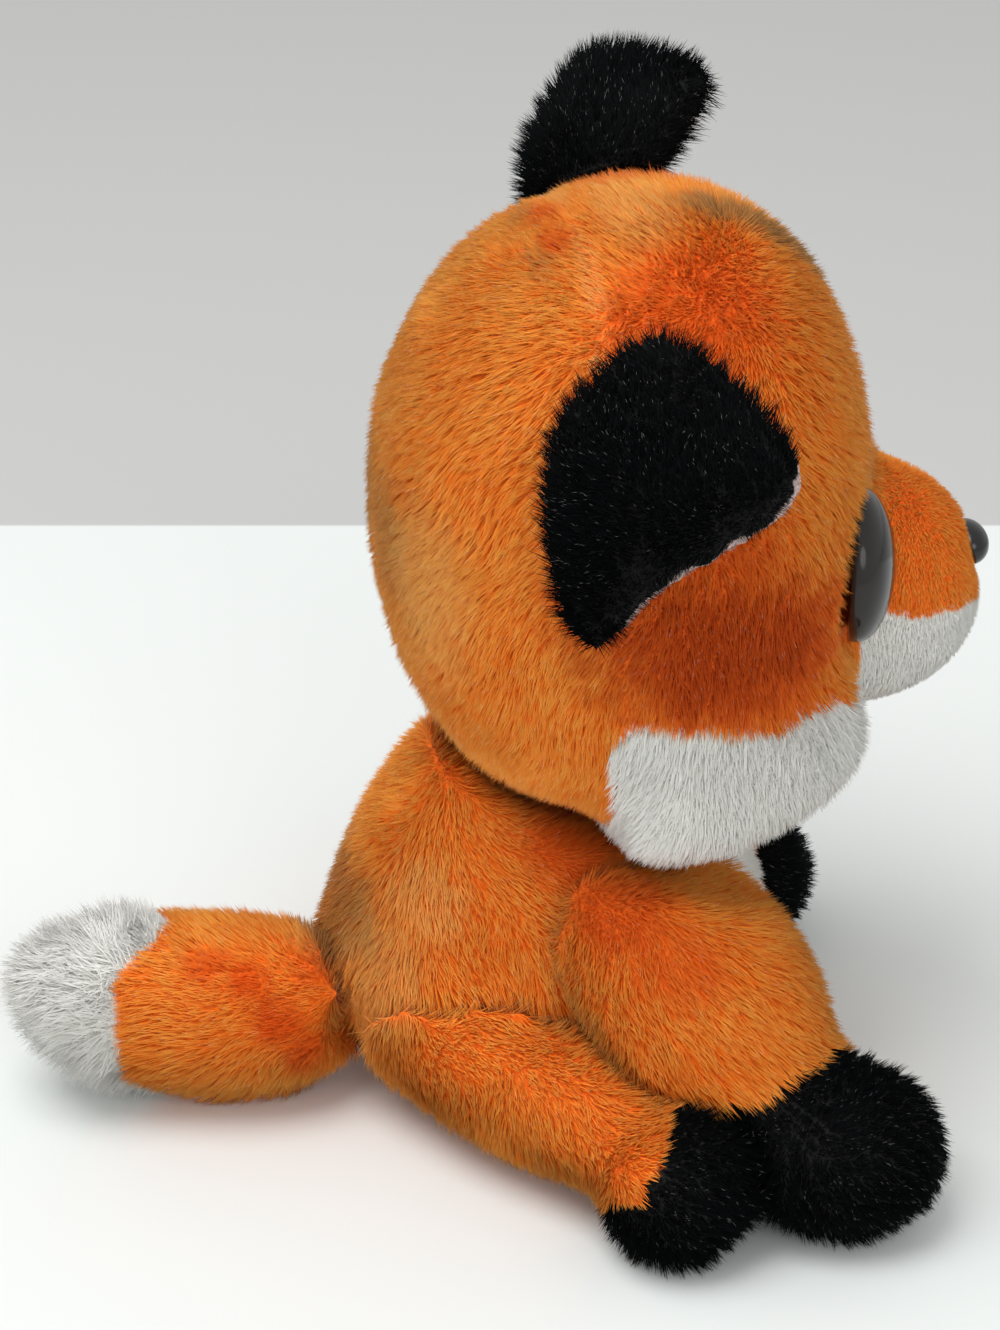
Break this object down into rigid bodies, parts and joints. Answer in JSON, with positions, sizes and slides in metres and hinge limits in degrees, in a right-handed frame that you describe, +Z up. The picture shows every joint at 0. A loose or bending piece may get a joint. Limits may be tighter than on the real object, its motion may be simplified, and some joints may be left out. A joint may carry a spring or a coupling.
{
  "type": "plush fox",
  "caption": "Sitting stuffed fox with a big round head, folded black ears, soft black paws and a white-tipped tail; head, ears, arms, legs and tail bend on their seams.",
  "frame": {"origin": "on the table under the toy, in the middle of its bounding box seen from above", "axes": "+Z up, the fox faces -Y, its left side is +X"},
  "size_m": [0.144, 0.1541, 0.1491],
  "materials": {
    "back_plush": "matte",
    "face_plush": "matte",
    "white_plush": "matte",
    "black_plush": "matte",
    "ear_lining": "matte",
    "fibre_filling": "matte",
    "pouch_cloth": "matte",
    "eye_plastic": "gloss",
    "nose_plastic": "gloss",
    "washer_plastic": "satin"
  },
  "bodies": {
    "body": {"body_skin": "back_plush", "chest_bib": "white_plush", "body_stuffing": "fibre_filling", "pellet_pouch": "pouch_cloth"},
    "neck": {"neck_stuffing": "fibre_filling"},
    "head": {"head_back": "back_plush", "head_face": "face_plush", "head_stuffing": "fibre_filling", "cheek_right": "white_plush", "cheek_left": "white_plush", "snout": "face_plush", "muzzle": "white_plush", "nose": "nose_plastic", "nose_washer": "washer_plastic", "eye_right": "eye_plastic", "eye_washer_right": "washer_plastic", "eye_left": "eye_plastic", "eye_washer_left": "washer_plastic"},
    "ear_right": {"ear_back_right": "black_plush", "ear_lining_right": "ear_lining"},
    "ear_left": {"ear_back_left": "black_plush", "ear_lining_left": "ear_lining"},
    "arm_right": {"arm_right": "back_plush", "paw_right": "black_plush"},
    "arm_left": {"arm_left": "back_plush", "paw_left": "black_plush"},
    "leg_right": {"leg_right": "back_plush", "foot_right": "black_plush"},
    "leg_left": {"leg_left": "back_plush", "foot_left": "black_plush"},
    "tail": {"tail": "back_plush", "tail_tip": "white_plush"}
  },
  "joints": [
    {"name": "head_turn", "type": "hinge", "parent": "body", "child": "neck", "pos_m": [0, -0.01095, 0.052], "axis": [0, 0, 1], "range_deg": [-12, 12], "stiffness_Nm_per_rad": 0.6},
    {"name": "head_nod", "type": "hinge", "parent": "neck", "child": "head", "pos_m": [0, -0.01095, 0.052], "axis": [1, 0, 0], "range_deg": [-6, 6], "stiffness_Nm_per_rad": 1.2},
    {"name": "ear_right_lift", "type": "hinge", "parent": "head", "child": "ear_right", "pos_m": [-0.0435, -0.00845, 0.111], "axis": [-0.2505, 0.0501, -0.9668], "range_deg": [-5, 15], "stiffness_Nm_per_rad": 0.01},
    {"name": "ear_left_lift", "type": "hinge", "parent": "head", "child": "ear_left", "pos_m": [0.038, -0.01895, 0.125], "axis": [-0.3051, -0.75, 0.5869], "range_deg": [-5, 15], "stiffness_Nm_per_rad": 0.01},
    {"name": "arm_right_swing", "type": "hinge", "parent": "body", "child": "arm_right", "pos_m": [-0.02, -0.01995, 0.04], "axis": [-1, 0, 0], "range_deg": [0, 26], "stiffness_Nm_per_rad": 0.1},
    {"name": "arm_left_swing", "type": "hinge", "parent": "body", "child": "arm_left", "pos_m": [0.02, -0.01995, 0.04], "axis": [-1, 0, 0], "range_deg": [0, 26], "stiffness_Nm_per_rad": 0.1},
    {"name": "leg_right_splay", "type": "hinge", "parent": "body", "child": "leg_right", "pos_m": [-0.02, 0.01705, 0.014], "axis": [0, 0, -1], "range_deg": [-1, 10], "stiffness_Nm_per_rad": 0.06},
    {"name": "leg_left_splay", "type": "hinge", "parent": "body", "child": "leg_left", "pos_m": [0.02, 0.01705, 0.014], "axis": [0, 0, 1], "range_deg": [-1, 10], "stiffness_Nm_per_rad": 0.06},
    {"name": "tail_wag", "type": "hinge", "parent": "body", "child": "tail", "pos_m": [-0.008, 0.02405, 0.0145], "axis": [0, 0, 1], "range_deg": [-12, 12], "stiffness_Nm_per_rad": 0.06}
  ]
}
